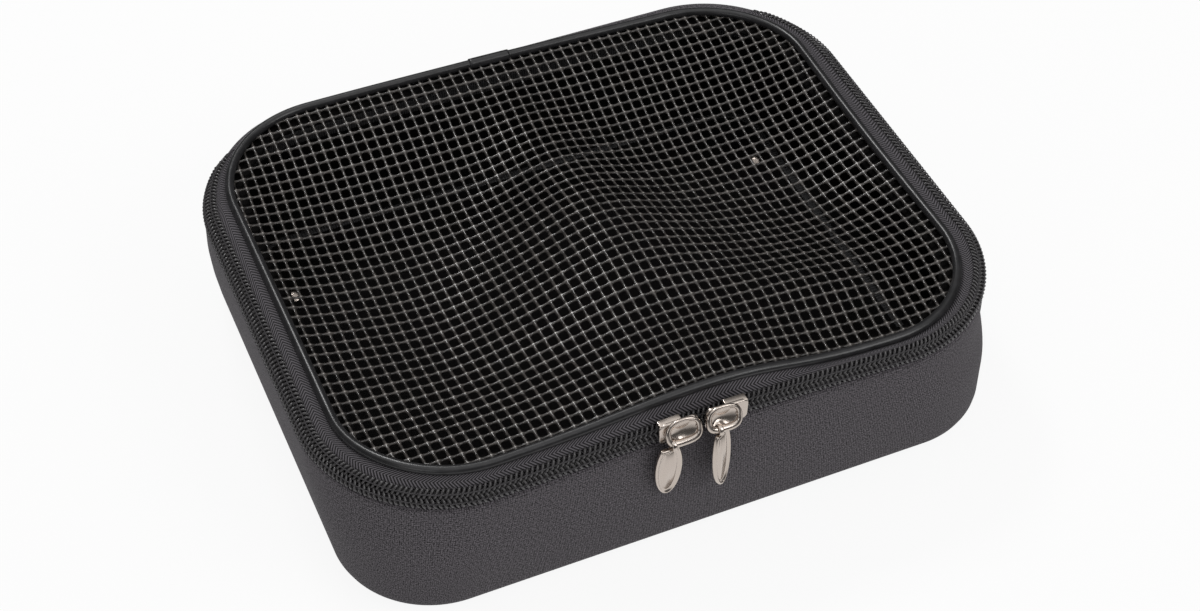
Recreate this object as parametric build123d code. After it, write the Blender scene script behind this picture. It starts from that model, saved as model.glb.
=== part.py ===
"""Small soft-sided case with a net lid, closed by a two-slider zipper on three sides.

Millimetres. X runs along the front, Y to the back, Z up. The origin is the middle of the
underside, on the table. Each sub-part is written to parts/NODE.step.
"""
import os
from math import atan, degrees

from build123d import *

# The rim, where the zipper starts, is a rounded rectangle. The foot lies inside it at the
# sides and in line with it at the front and back.
rim_width = 246.0
rim_depth = 199.0
rim_corner = 50.0
foot_inset_side = 4.0
foot_inset_front = 0.0
foot_corner = 35.0

# Zipper chain: it leans inward from its lower edge, most at the sides and least at the back
parting_z = 52.7
chain_height = 6.0
chain_lean_side = 4.2
chain_lean_front = 2.5
chain_lean_back = 1.6
chain_corner_change = 4.0
crest_rise = 2.6
coil_thickness = 2.6
coil_gap = 1.5
tape_thickness = 0.8
tape_reveal = 2.2
shelf_thickness = 0.8
shelf_width_side = 2.75
zip_end_setback = 16.0
end_tab_length = 2.2

# Tub walls, from the outside in
fabric_thickness = 1.0
foam_thickness = 3.0
lining_thickness = 0.8
foot_fillet = 7.0
waist_margin = 1.0
wall_setback = 0.6
binding_height = 6.0
binding_thickness = 0.8

# Floor
floor_seam_inset_side = 15.0
floor_seam_inset_front = 14.6
floor_seam_corner = 14.0
floor_seam_strip = 3.0
floor_seam_height = 0.8

# Rivets in the floor, placed from the floor seam's outer edge
rivet_inset_side = 9.0
rivet_inset_back = 30.4
rivet_cap_radius = 3.5
rivet_cap_height = 1.6
rivet_post_radius = 1.25
rivet_flange_radius = 4.2
rivet_flange_height = 0.55
rivet_clearance = 0.1

# Lid edge and net
piping_corner = 40.0
piping_radius = 1.6
cord_radius = 0.9
hump_height = 6.5
hump_margin = 4.0
sleeve_length = 17.0
sleeve_wall = 0.35
facing_width = 6.0
facing_thickness = 1.0
facing_setback = 0.4
net_thickness = 0.8
net_pitch = 11.2
net_strand = 1.4
seam_clearance = 0.05

# Fabric hinge at the back
hinge_thickness = 1.2
hinge_slit = 0.4

# Sliders
slider_length = 15.0
slider_height = 8.6
slider_lift = 1.6
slider_corner = 2.0
slider_plate = 1.2
slider_flange = 0.7
slider_flange_height = 0.9
slider_flange_corner = 0.3
slider_web_length = 6.0
slider_clearance = 0.3
slider_gap = 2.3
left_slider_x = -12.9
bridge_tube_radius = 0.9
bridge_setback = 1.8
bridge_height = 9.8
bridge_low_corner = 1.3
bridge_high_corner = 3.4
bridge_tilt = 71.0
bridge_dish = 0.8
bar_drop = 1.4
bridge_shift = 1.7
bridge_foot_radius = 1.0

# Pulls
pull_reach = 24.8
pull_width = 9.5
pull_thickness = 1.4
pull_rim = 0.9
pull_recess = 0.35
pull_slot_width = 3.2
pull_slot_height = 1.4
eye_clearance = 0.3
eye_wall = 0.7
eye_plate_gap = 0.6
eye_width = 1.6
left_eye_x = -3.6
left_pull_shift = -1.0
left_pull_twist = 0.0
left_pull_swing = -3.5
right_eye_x = -1.9
right_pull_shift = 1.0
right_pull_twist = 23.0
right_pull_swing = 6.0

# Heights, places and loops that follow from the sizes above
chain_low_z = parting_z - chain_height / 2
chain_high_z = parting_z + chain_height / 2
wall_top_z = chain_low_z - tape_reveal
wall_thickness = fabric_thickness + foam_thickness + lining_thickness
waist_z = foot_fillet + waist_margin
zip_end_y = rim_depth / 2 - zip_end_setback
piping_z = chain_high_z
piping_seat = coil_thickness + tape_thickness + seam_clearance + piping_radius
piping_width = rim_width - 2 * (chain_lean_side + shelf_width_side + piping_seat)
piping_front = rim_depth / 2 - chain_lean_front - piping_seat
piping_back = rim_depth / 2 - chain_lean_back - hinge_thickness - seam_clearance - piping_radius
hump_half_length = piping_width / 2 - piping_corner - hump_margin
plate_y = -(rim_depth / 2 + slider_clearance + slider_plate)
right_slider_x = left_slider_x + slider_length + slider_gap
crest_x = (left_slider_x + right_slider_x) / 2
eye_inner = bridge_tube_radius + eye_clearance
eye_outer = eye_inner + eye_wall
bar_y = plate_y - eye_outer - eye_plate_gap
bar_z = -bar_drop
bridge_length = slider_length - bridge_setback

# A loop is a rounded rectangle: its width, depth and corner radius, and the Y of its middle
rim_loop = (rim_width, rim_depth, rim_corner, 0.0)
chain_top_loop = (
    rim_width - 2 * chain_lean_side,
    rim_depth - chain_lean_front - chain_lean_back,
    rim_corner - chain_corner_change,
    (chain_lean_front - chain_lean_back) / 2,
)
front_half = piping_width / 2 - piping_corner
foot_width = rim_width - 2 * foot_inset_side
foot_depth = rim_depth - 2 * foot_inset_front
foot_loop = (foot_width, foot_depth, foot_corner, 0.0)
piping_loop = (
    piping_width,
    piping_front + piping_back,
    piping_corner,
    (piping_back - piping_front) / 2,
)
floor_seam_loop = (
    foot_width - 2 * floor_seam_inset_side,
    foot_depth - 2 * floor_seam_inset_front,
    floor_seam_corner,
    0.0,
)


def inset(loop, distance):
    """The same rounded rectangle, moved inward all round."""
    width, depth, corner, middle_y = loop
    return (width - 2 * distance, depth - 2 * distance, corner - distance, middle_y)


def between(low, high, share):
    """The loop at a share of the way from one loop to another."""
    return tuple(a + (b - a) * share for a, b in zip(low, high))


def sketch(loop, z=0.0):
    """A filled rounded rectangle at height z."""
    width, depth, corner, middle_y = loop
    return Pos(0, middle_y, z) * RectangleRounded(width, depth, corner)


def front_reach(loop):
    """How far the loop reaches to the front of the origin."""
    return loop[1] / 2 - loop[3]


def prism(loop, low_z, high_z):
    """A straight block with a rounded rectangle as its plan."""
    return extrude(sketch(loop, low_z), amount=high_z - low_z)


def frustum(low_loop, low_z, high_loop, high_z):
    """A block that changes straight from one rounded rectangle to another."""
    return loft([sketch(low_loop, low_z), sketch(high_loop, high_z)], ruled=True)


def band(low_loop, low_z, high_loop, high_z, outer, inner):
    """A ring wall between two depths measured inward from a leaning surface."""
    solid = frustum(inset(low_loop, outer), low_z, inset(high_loop, outer), high_z)
    return solid - frustum(inset(low_loop, inner), low_z, inset(high_loop, inner), high_z)


def chain_loop(z):
    """The loop of the chain's outer surface at height z."""
    return between(rim_loop, chain_top_loop, (z - chain_low_z) / chain_height)


def chain_band(low_z, high_z, outer, inner):
    """A ring wall that leans with the chain."""
    return band(chain_loop(low_z), low_z, chain_loop(high_z), high_z, outer, inner)


def half_space(y_low, y_high):
    """A block wide and tall enough to keep what lies between two values of Y."""
    reach = 2 * max(rim_width, rim_depth)
    return Pos(0, (y_low + y_high) / 2, 0) * Box(reach, y_high - y_low, reach)


front_of_zip_end = half_space(-rim_depth, zip_end_y)
end_tab_zone = half_space(zip_end_y, zip_end_y + end_tab_length)
hinge_start_y = zip_end_y + end_tab_length + hinge_slit
behind_zip_end = half_space(hinge_start_y, rim_depth)
front_of_hinge = half_space(-rim_depth, hinge_start_y - hinge_slit)


def crowned(ring):
    """A level ring with its straight front raised to a low crest, like a shallow roof."""
    reach = 2 * rim_depth
    zone = Pos(0, -reach / 2, 0) * Box(2 * front_half, reach, reach)
    front = ring & zone
    raised = ring - zone
    for end, order in ((-front_half, 0), (front_half, -1)):
        face = front.faces().sort_by(Axis.X)[order]
        way = Vector(crest_x - end, 0, crest_rise)
        raised += extrude(face, amount=way.length, dir=way)
    return raised


def tub(depth):
    """The space inside the tub's outer surface, by a wall of the given depth."""
    plan = inset(foot_loop, depth)
    lower = prism(plan, depth, waist_z)
    rounded = fillet(lower.faces().sort_by(Axis.Z)[0].edges(), foot_fillet - depth)
    top = inset(rim_loop, wall_setback + depth)
    return rounded + frustum(plan, waist_z, top, wall_top_z)


def make_tub_layers():
    """Outer fabric, padding and lining, each split where the flat floor starts."""
    fabric_depth = fabric_thickness
    foam_depth = fabric_depth + foam_thickness
    outer, second, third, inner = [tub(d) for d in (0, fabric_depth, foam_depth, wall_thickness)]
    floor = prism(inset(foot_loop, foot_fillet), 0, waist_z)
    layers = {}
    for wall, bottom, solid in (
        ("side_wall", "base_panel", outer - second),
        ("wall_foam", "base_board", second - third),
        ("wall_lining", "floor_lining", third - inner),
    ):
        layers[wall] = solid - floor
        layers[bottom] = solid & floor
    return layers


def rivet_places():
    """One place at each side of the floor, inside the floor seam."""
    x = floor_seam_loop[0] / 2 - rivet_inset_side
    y = floor_seam_loop[1] / 2 - rivet_inset_back
    return [Pos(side * x, y, 0) for side in (-1, 1)]


def make_rivets(layers):
    """Two rivets through the floor. The panel, board and lining are drilled for them."""
    post_top = wall_thickness
    hole = Cylinder(rivet_post_radius + rivet_clearance, 2 * post_top)
    pocket_depth = rivet_flange_height + rivet_clearance
    pocket = Cylinder(rivet_flange_radius + 2 * rivet_clearance, 2 * pocket_depth)
    for node in ("base_panel", "base_board", "floor_lining"):
        for place in rivet_places():
            layers[node] = layers[node] - place * hole
    for place in rivet_places():
        layers["base_panel"] = layers["base_panel"] - place * pocket
    flange = Pos(0, 0, rivet_clearance + rivet_flange_height / 2) * Cylinder(
        rivet_flange_radius, rivet_flange_height
    )
    post_low = rivet_clearance + rivet_flange_height
    post = Pos(0, 0, (post_low + post_top) / 2) * Cylinder(rivet_post_radius, post_top - post_low)
    rise = rivet_cap_height
    ball = (rivet_cap_radius**2 + rise**2) / (2 * rise)
    dome = Pos(0, 0, post_top + rise - ball) * Sphere(ball)
    above_floor = Pos(0, 0, post_top + ball) * Box(2 * ball, 2 * ball, 2 * ball)
    cap = dome & above_floor
    places = rivet_places()
    return {
        "rivet_posts": [place * (flange + post) for place in places],
        "rivet_caps": [place * cap for place in places],
    }


def make_tub_trim():
    """Binding round the wall's top inside, and round the floor's seam."""
    high = inset(rim_loop, wall_setback)
    share = (wall_top_z - binding_height - waist_z) / (wall_top_z - waist_z)
    low = between(foot_loop, high, share)
    depth = wall_thickness
    wall_binding = band(
        low, wall_top_z - binding_height, high, wall_top_z, depth, depth + binding_thickness
    )
    seam = floor_seam_loop
    top = wall_thickness + floor_seam_height
    strip = prism(seam, wall_thickness, top) - prism(
        inset(seam, floor_seam_strip), wall_thickness, top
    )
    return {"wall_binding": wall_binding, "floor_binding": strip}


def make_zipper():
    """Both halves of the coil and of its woven tape, open along the back."""
    low_top = parting_z - coil_gap / 2
    high_bottom = parting_z + coil_gap / 2
    coil = coil_thickness
    tape = coil_thickness + tape_thickness
    lower_coil = chain_band(chain_low_z, low_top, 0, coil)
    upper_coil = chain_band(high_bottom, chain_high_z, 0, coil)
    wall_top = inset(rim_loop, wall_setback)
    skirt = frustum(wall_top, wall_top_z, inset(rim_loop, coil), chain_low_z)
    skirt -= frustum(
        inset(wall_top, tape_thickness), wall_top_z, inset(rim_loop, tape), chain_low_z
    )
    lower_tape = chain_band(chain_low_z, low_top, coil, tape) + skirt
    upper_tape = chain_band(high_bottom, chain_high_z, coil, tape) + make_shelf(coil)
    return {
        "lower_coil": crowned(lower_coil) & front_of_zip_end,
        "upper_coil": crowned(upper_coil) & front_of_zip_end,
        "lower_tape": (lower_tape + crowned(lower_tape)) & front_of_hinge,
        "upper_tape": (crowned(upper_tape) + make_apron()) & front_of_hinge,
        "zipper_end_tabs": (lower_coil & end_tab_zone).solids(),
    }


def make_shelf(depth):
    """The flat strip of tape from the top of the chain in to the piping."""
    outer = prism(inset(chain_top_loop, depth), chain_high_z, chain_high_z + shelf_thickness)
    opening = inset(piping_loop, -piping_radius - seam_clearance)
    return outer - prism(opening, chain_high_z, chain_high_z + shelf_thickness)


def half_hump():
    """Half of the hump in X and Z: from the middle of its crest down to the level, in two arcs."""
    middle = (hump_half_length / 2, hump_height / 2)
    crest = TangentArc((0, hump_height), middle, tangent=(1, 0))
    foot = TangentArc((hump_half_length, 0), middle, tangent=(-1, 0))
    return crest, foot


def make_apron():
    """The tape's stretch at the front, which rises with the piping's hump."""
    corner = Line((hump_half_length, 0), (0, 0))
    middle = Line((0, 0), (0, hump_height))
    right = make_face([*half_hump(), corner, middle])
    face = right + mirror(right, about=Plane.YZ)
    outer_y = front_reach(inset(chain_top_loop, coil_thickness))
    low_z = chain_high_z + shelf_thickness - seam_clearance
    plane = Plane(origin=(0, -outer_y, low_z), x_dir=(1, 0, 0), z_dir=(0, -1, 0))
    return extrude(plane * face, amount=-tape_thickness)


def piping_path():
    """Half of the piping's centre line, from the middle of the back to the front's hump crest."""
    corner = piping_corner
    x = piping_width / 2
    cx = x - corner
    back_cy = piping_back - corner
    front_cy = corner - piping_front
    front = Plane(origin=(0, -piping_front, piping_z), x_dir=(1, 0, 0), z_dir=(0, -1, 0))
    level = Plane.XY.offset(piping_z)
    edges = [
        Line((0, piping_back), (cx, piping_back)),
        CenterArc((cx, back_cy), corner, 0, 90),
        Line((x, back_cy), (x, front_cy)),
        CenterArc((cx, front_cy), corner, -90, 90),
        Line((cx, -piping_front), (hump_half_length, -piping_front)),
    ]
    return Wire([level * edge for edge in edges] + [front * arc for arc in half_hump()])


def round_section(place, radius):
    """A filled circle square to a path."""
    return place * Circle(radius)


def make_piping():
    """A cord in a vinyl cover, joined at the back under a short sleeve."""
    path = piping_path()
    start = Plane(origin=(0, piping_back, piping_z), z_dir=(1, 0, 0))
    nodes = {}
    for name, outer, inner in (
        ("piping_cord", cord_radius, 0),
        ("piping_cover", piping_radius, cord_radius),
    ):
        half = sweep(round_section(start, outer), path=path)
        if inner:
            half -= sweep(round_section(start, inner), path=path)
        nodes[name] = half + mirror(half, about=Plane.YZ)
    nodes["piping_sleeve"] = sleeve_tube(piping_radius + sleeve_wall) - sleeve_tube(
        piping_radius + seam_clearance
    )
    return nodes


def sleeve_tube(radius):
    """A cylinder round the piping's joint at the middle of the back."""
    return Pos(0, piping_back, piping_z) * Rot(0, 90, 0) * Cylinder(radius, sleeve_length)


def make_net():
    """The lid's net as one flat holed sheet, and the facing it is sewn to."""
    low_z = piping_z - piping_radius - seam_clearance
    opening = inset(piping_loop, piping_radius + 2 * seam_clearance)
    outer = inset(piping_loop, facing_setback)
    inner = inset(opening, facing_width)
    facing = prism(outer, low_z - facing_thickness, low_z) - prism(
        inner, low_z - facing_thickness, low_z
    )
    width, depth, corner, middle_y = inset(opening, net_strand)
    columns = int(width // net_pitch)
    rows = int(depth // net_pitch)
    gap = net_pitch - net_strand
    outline = sketch(opening, low_z + seam_clearance)
    gaps = []
    for column in range(columns):
        for row in range(rows):
            x = (column - (columns - 1) / 2) * net_pitch
            y = (row - (rows - 1) / 2) * net_pitch
            past_x = abs(x) + gap / 2 - (width / 2 - corner)
            past_y = abs(y) + gap / 2 - (depth / 2 - corner)
            if past_x <= 0 or past_y <= 0 or Vector(past_x, past_y).length <= corner:
                gaps.append(Pos(x, middle_y + y, low_z + seam_clearance) * Rectangle(gap, gap))
    net = extrude(outline - gaps, amount=net_thickness)
    print("net gaps", len(gaps))
    sleeve = sleeve_tube(piping_radius + sleeve_wall + seam_clearance)
    return {"rim_facing": facing - sleeve, "lid_mesh": net - sleeve}


def make_hinge():
    """The back's fabric hinge, as a strip on the tub and a strip on the lid."""
    low_top = parting_z - hinge_slit / 2
    high_bottom = parting_z + hinge_slit / 2
    wall_top = inset(rim_loop, wall_setback)
    low = frustum(wall_top, wall_top_z, chain_loop(low_top), low_top)
    low -= frustum(
        inset(wall_top, hinge_thickness), wall_top_z, inset(chain_loop(low_top), hinge_thickness), low_top
    )
    high = chain_band(high_bottom, chain_high_z, 0, hinge_thickness) + make_shelf(0)
    high -= sleeve_tube(piping_radius + sleeve_wall + seam_clearance)
    return {"hinge_strip_lower": low & behind_zip_end, "hinge_strip_upper": high & behind_zip_end}


def upright(outline, y_outer, thickness, x=0.0, z=0.0):
    """A plate that stands in the plane of the front, from y_outer inward."""
    plane = Plane(origin=(x, y_outer, z), x_dir=(1, 0, 0), z_dir=(0, -1, 0))
    return extrude(plane * outline, amount=-thickness)


def make_slider(nose):
    """Two plates joined by a web between the coils. The nose is -1 for left, 1 for right."""
    outline = RectangleRounded(slider_length, slider_height, slider_corner)
    outer = upright(outline, plate_y, slider_plate, 0, slider_lift)
    flange_length = slider_length - 2 * slider_corner
    flange = RectangleRounded(flange_length, slider_flange_height, slider_flange_corner)
    flange_z = slider_lift + (slider_height - slider_flange_height) / 2
    outer += upright(flange, plate_y + slider_plate, slider_flange, 0, flange_z)
    coil_back_y = coil_thickness + tape_thickness - front_reach(chain_loop(parting_z - coil_gap / 2))
    inner_y = coil_back_y + slider_clearance
    web_thickness = coil_gap - 2 * slider_clearance
    inner_low = -chain_height / 2
    inner_high = web_thickness / 2
    outline = RectangleRounded(slider_length, inner_high - inner_low, slider_corner / 2)
    inner = upright(outline, inner_y, slider_plate, 0, (inner_low + inner_high) / 2)
    web_depth = inner_y - plate_y
    web_x = nose * (slider_length - slider_web_length) / 2
    web = Pos(web_x, plate_y + web_depth / 2, 0) * Box(slider_web_length, web_depth, web_thickness)
    return outer + web + inner


def make_bridge(x, body):
    """A ring on two feet, with a straight bar below, an arch above and a shallow dish in the arch."""
    tube = bridge_tube_radius
    length = bridge_length - 2 * tube
    height = bridge_height - 2 * tube
    tilted = Plane(origin=(x, bar_y, bar_z), x_dir=(1, 0, 0), z_dir=(0, -1, 0))
    tilted = tilted.rotated((bridge_tilt - 90, 0, 0))
    outline = Pos(0, height / 2) * Rectangle(length, height)
    corners = outline.vertices().sort_by(Axis.Y)
    outline = fillet(corners[:2], bridge_low_corner)
    corners = outline.vertices().sort_by(Axis.Y)
    outline = fillet(corners[-2:], bridge_high_corner)
    path = (tilted * outline).wire()
    ring = sweep(round_section(Plane(origin=path @ 0, z_dir=path % 0), tube), path=path)
    upper_half = Pos(0, height / 2 + height / 4) * Rectangle(length, height / 2)
    dish = extrude(tilted * (outline & upper_half), amount=bridge_dish / 2, both=True)
    bridge = ring + dish
    for side in (-1, 1):
        end = tilted.from_local_coords((side * length / 2, height / 2, 0))
        reach = plate_y + slider_plate / 2 - end.Y
        middle = Pos(end.X, end.Y + reach / 2, end.Z)
        bridge += middle * Rot(90, 0, 0) * Cylinder(bridge_foot_radius, reach)
    return bridge - body


def make_pull(shift, twist, swing):
    """An oval plate with a raised rim, its top round an eye that runs on the bridge's bar."""
    length = pull_reach + eye_outer
    bore = Rot(0, 90, 0) * Cylinder(eye_inner, 2 * pull_width)
    eye = Rot(0, 90, 0) * Cylinder(eye_outer, eye_width)
    face = Plane(origin=(0, 0, 0), x_dir=(1, 0, 0), z_dir=(0, -1, 0))
    oval = Ellipse(pull_width / 2, length / 2)
    middle = Ellipse(pull_width / 2 - pull_rim, length / 2 - pull_rim)
    plate = extrude(face * oval, amount=pull_thickness / 2, both=True)
    recess = face * Pos(0, 0, pull_thickness / 2 - pull_recess) * middle
    plate -= extrude(recess, amount=pull_recess)
    plate = Pos(0, 0, eye_outer - length / 2) * plate
    slot_z = -eye_outer - pull_slot_height / 2
    slot = Pos(0, 0, slot_z) * Box(pull_slot_width, 2 * pull_thickness, pull_slot_height)
    top = Pos(0, 0, length / 2 - eye_inner) * Box(2 * pull_width, 2 * pull_width, length)
    plate = Pos(shift, 0, 0) * Rot(0, 0, twist) * (plate - slot - top)
    return Rot(-swing, 0, 0) * (eye + plate - bore)


def make_sliders():
    """The two sliders with their bridges and pulls, each in line with its slope of the chain."""
    nodes = {}
    for side, x, nose, eye_x, shift, twist, swing in (
        ("left", left_slider_x, -1, left_eye_x, left_pull_shift, left_pull_twist, left_pull_swing),
        ("right", right_slider_x, 1, right_eye_x, right_pull_shift, right_pull_twist, right_pull_swing),
    ):
        end_x = nose * front_half
        slope = crest_rise / abs(end_x - crest_x)
        rise = slope * abs(end_x - x)
        place = Pos(x, 0, parting_z + rise) * Rot(0, nose * degrees(atan(slope)), 0)
        bridge_x = -nose * bridge_shift
        body = make_slider(nose)
        nodes[side + "_slider_body"] = place * body
        nodes[side + "_slider_bridge"] = place * make_bridge(bridge_x, body)
        pull = Pos(bridge_x + eye_x, bar_y, bar_z) * make_pull(shift, twist, swing)
        nodes[side + "_pull"] = place * pull
        eye = place * Pos(bridge_x + eye_x, bar_y, bar_z)
        print(side, "eye", eye.position, "slope", nose * degrees(atan(slope)))
    return nodes


def write(nodes):
    """One STEP file for each node; a list becomes one node of separate solids."""
    os.makedirs("parts", exist_ok=True)
    for name, shape in nodes.items():
        solids = list(shape) if isinstance(shape, (list, ShapeList)) else shape.solids()
        whole = Compound(children=solids) if len(solids) > 1 else solids[0]
        whole.label = name
        export_step(whole, f"parts/{name}.step")


layers = make_tub_layers()
rivets = make_rivets(layers)
write(layers)
write(rivets)
write(make_tub_trim())
write(make_zipper())
write(make_piping())
write(make_net())
write(make_hinge())
write(make_sliders())
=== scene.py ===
"""A small soft-sided zip case with a net lid, dressed for the photograph.

Sizes are in millimetres up to the making of a mesh, which is in metres. X runs along the
front, Y to the back and Z up. The origin is the middle of the underside, on the table.
"""

import bmesh
import bpy
import numpy as np
from mathutils import Matrix, Vector


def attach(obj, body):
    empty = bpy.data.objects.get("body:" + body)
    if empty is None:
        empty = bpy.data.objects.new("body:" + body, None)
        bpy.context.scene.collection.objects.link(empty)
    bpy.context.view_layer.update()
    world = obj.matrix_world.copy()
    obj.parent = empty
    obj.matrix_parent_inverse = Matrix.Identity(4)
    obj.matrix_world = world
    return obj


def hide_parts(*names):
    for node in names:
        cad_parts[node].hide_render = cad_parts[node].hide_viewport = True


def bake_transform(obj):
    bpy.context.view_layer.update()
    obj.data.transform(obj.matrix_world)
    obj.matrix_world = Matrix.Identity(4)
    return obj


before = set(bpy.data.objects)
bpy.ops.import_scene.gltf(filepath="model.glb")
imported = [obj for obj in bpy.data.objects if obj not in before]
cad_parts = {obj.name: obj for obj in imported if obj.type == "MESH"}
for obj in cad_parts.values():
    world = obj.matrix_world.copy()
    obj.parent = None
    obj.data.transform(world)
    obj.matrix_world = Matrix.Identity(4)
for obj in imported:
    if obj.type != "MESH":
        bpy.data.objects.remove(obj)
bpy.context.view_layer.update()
scene = bpy.context.scene
mm = 0.001

# The camera stands at the front, a little to the left, and looks down at 46 degrees through
# a short telephoto lens, as the photograph was taken.
camera_azimuth = -23.61
camera_elevation = 45.85
camera_roll = 0.28
camera_distance = 758.8
camera_target = (-3.1, -17.1, 30.0)
camera_data = bpy.data.cameras.new("camera")
camera_data.sensor_width = 36.0
camera_data.lens = 65.0
camera_data.clip_start = 0.01
camera_data.clip_end = 50.0
camera = bpy.data.objects.new("camera", camera_data)
scene.collection.objects.link(camera)
scene.camera = camera
camera_turn = (
    Matrix.Rotation(np.radians(camera_azimuth), 4, "Z")
    @ Matrix.Rotation(np.radians(90 - camera_elevation), 4, "X")
    @ Matrix.Rotation(np.radians(camera_roll), 4, "Z")
)
camera_back = camera_turn.to_3x3() @ Vector((0, 0, 1))
camera_place = (Vector(camera_target) + camera_back * camera_distance) * mm
camera.matrix_world = Matrix.Translation(camera_place) @ camera_turn

# The case stands on white paper under soft boxes. The floor and the world look white to the
# camera, while the light on the case stays at a plain level. The nickel shows the paper round
# the case, the white ceiling and the dark room beyond them.
scene.view_settings.view_transform = "Standard"
floor_reach, floor_depth = 8.0, 0.0002
floor_white_share = 0.9
paper_glow, room_glow, world_light = 0.9, 0.07, 0.5
paper_from, paper_to = 0.22, 0.48
ceiling_from, ceiling_to = 0.62, 0.9
pure_white = (1, 1, 1, 1)
soft_boxes = {
    "key": ((0.7, -0.9, 0.95), 0.7, 5.0),
    "top": ((-0.1, 0.8, 1.1), 0.28, 5.0),
    "fill": ((-1.0, -0.9, 0.6), 0.7, 2.0),
}


def linear(code):
    """An sRGB hex colour as linear red, green, blue and 1: each channel is divided by 12.92
    when small, and otherwise raised to 2.4 after a shift."""
    channels = [int(code[i : i + 2], 16) / 255 for i in (1, 3, 5)]
    return (*[c / 12.92 if c <= 0.04045 else ((c + 0.055) / 1.055) ** 2.4 for c in channels], 1.0)


def add(tree, kind, inputs=(), **settings):
    """A node of one kind with its settings. An input takes a value, or another node's output."""
    made = tree.nodes.new("ShaderNode" + kind)
    for name, value in settings.items():
        setattr(made, name, value)
    for name, value in dict(inputs).items():
        if isinstance(value, bpy.types.NodeSocket):
            tree.links.new(value, made.inputs[name])
        else:
            made.inputs[name].default_value = value
    return made


def seen_rays(tree):
    """1 for the rays that the camera, a mirror or glass sends, and 0 for the rest."""
    path = add(tree, "LightPath").outputs
    seen = path["Is Camera Ray"]
    for ray in ("Is Glossy Ray", "Is Transmission Ray"):
        seen = add(tree, "Math", {0: seen, 1: path[ray]}, operation="MAXIMUM").outputs[0]
    return seen


world = bpy.data.worlds.new("studio")
scene.world = world
world.use_nodes = True
tree = world.node_tree
tree.nodes.clear()
path = add(tree, "LightPath").outputs
height = add(tree, "SeparateXYZ", {0: add(tree, "TexCoord").outputs["Generated"]}).outputs[2]
rise = {0: height, 1: ceiling_from, 2: ceiling_to, 3: room_glow, 4: 1.0}
ceiling = add(tree, "MapRange", rise, interpolation_type="SMOOTHSTEP").outputs[0]
level = {0: path["Is Glossy Ray"], 2: world_light, 3: ceiling}
level = {0: path["Is Camera Ray"], 2: add(tree, "Mix", level, data_type="FLOAT").outputs[0], 3: 1.0}
strength = add(tree, "Mix", level, data_type="FLOAT").outputs[0]
sky = add(tree, "Background", {"Color": pure_white, "Strength": strength})
add(tree, "OutputWorld", {"Surface": sky.outputs[0]})

# Matt white paper, which gives the eye no edge and no texture, only the case's soft shadow.
paper = bpy.data.materials.new("white_paper_sweep")
paper.use_nodes = True
tree = paper.node_tree
tree.nodes.clear()
lit = add(tree, "BsdfDiffuse", {"Color": linear("#f4f4f4")}).outputs[0]
glow = add(tree, "Emission", {"Color": pure_white, "Strength": 1.0}).outputs[0]
white = add(tree, "MixShader", {0: floor_white_share, 1: lit, 2: glow}).outputs[0]
whole = add(tree, "MixShader", {0: seen_rays(tree), 1: lit, 2: white}).outputs[0]
place = add(tree, "TexCoord").outputs["Object"]
reach = add(tree, "VectorMath", {0: place}, operation="LENGTH").outputs["Value"]
fade = add(tree, "MapRange", {0: reach, 1: paper_from, 2: paper_to, 3: paper_glow, 4: room_glow})
mirrored = add(tree, "Emission", {"Color": pure_white, "Strength": fade.outputs[0]}).outputs[0]
glossy = add(tree, "LightPath").outputs["Is Glossy Ray"]
whole = add(tree, "MixShader", {0: glossy, 1: whole, 2: mirrored}).outputs[0]
add(tree, "OutputMaterial", {"Surface": whole})
floor_mesh = bpy.data.meshes.new("floor")
floor_corners = [
    (x * floor_reach, y * floor_reach, -floor_depth)
    for x, y in ((-1, -1), (1, -1), (1, 1), (-1, 1))
]
floor_mesh.from_pydata(floor_corners, [], [(0, 1, 2, 3)])
floor_mesh.materials.append(paper)
floor = bpy.data.objects.new("floor", floor_mesh)
scene.collection.objects.link(floor)

for lamp_name, (place, size, watts) in soft_boxes.items():
    lamp_data = bpy.data.lights.new(lamp_name, "AREA")
    lamp_data.size = size
    lamp_data.energy = watts
    lamp = bpy.data.objects.new(lamp_name, lamp_data)
    scene.collection.objects.link(lamp)
    lamp.location = place
    lamp.rotation_euler = (-Vector(place)).to_track_quat("-Z", "Y").to_euler()

# The tub's wall is one band of woven polyester round foam. It stands on the foot, a rounded
# rectangle, leans out a little to the rim, bulges softly, and rolls in at the top to a seam.
# A rounded rectangle is given by its width, its depth, its corner's radius and its middle's Y.
rim_loop = (246.0, 199.0, 50.0, 0.0)
foot_loop = (238.0, 199.0, 35.0, 0.0)
wall_setback = 0.6
wall_height = 45
foot_fillet = 7.0
wall_top, wall_top_side_rise = 47.9, 1.4
wall_roll, wall_tuck = 2.2, 1.6
wall_bulge, wall_ripple, wall_wave = 1.3, 0.35, 70
crest_lift, crest_x, crest_reach = 2.4, 1.0, 52.0
seam_lift_share = 0.9
waist_dent, waist_x, waist_y, waist_share = 1.6, 117, -78, 0.72
fabric_thickness = 1.0
canvas_pitch = 0.8
columns = 520


def inset(loop, distance):
    """The same rounded rectangle, moved inward all round."""
    width, depth, corner, middle_y = loop
    return (width - 2 * distance, depth - 2 * distance, corner - distance, middle_y)


def between(low, high, share):
    """The rounded rectangle at a share of the way from one to another."""
    return tuple(a + (b - a) * share for a, b in zip(low, high))


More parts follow.
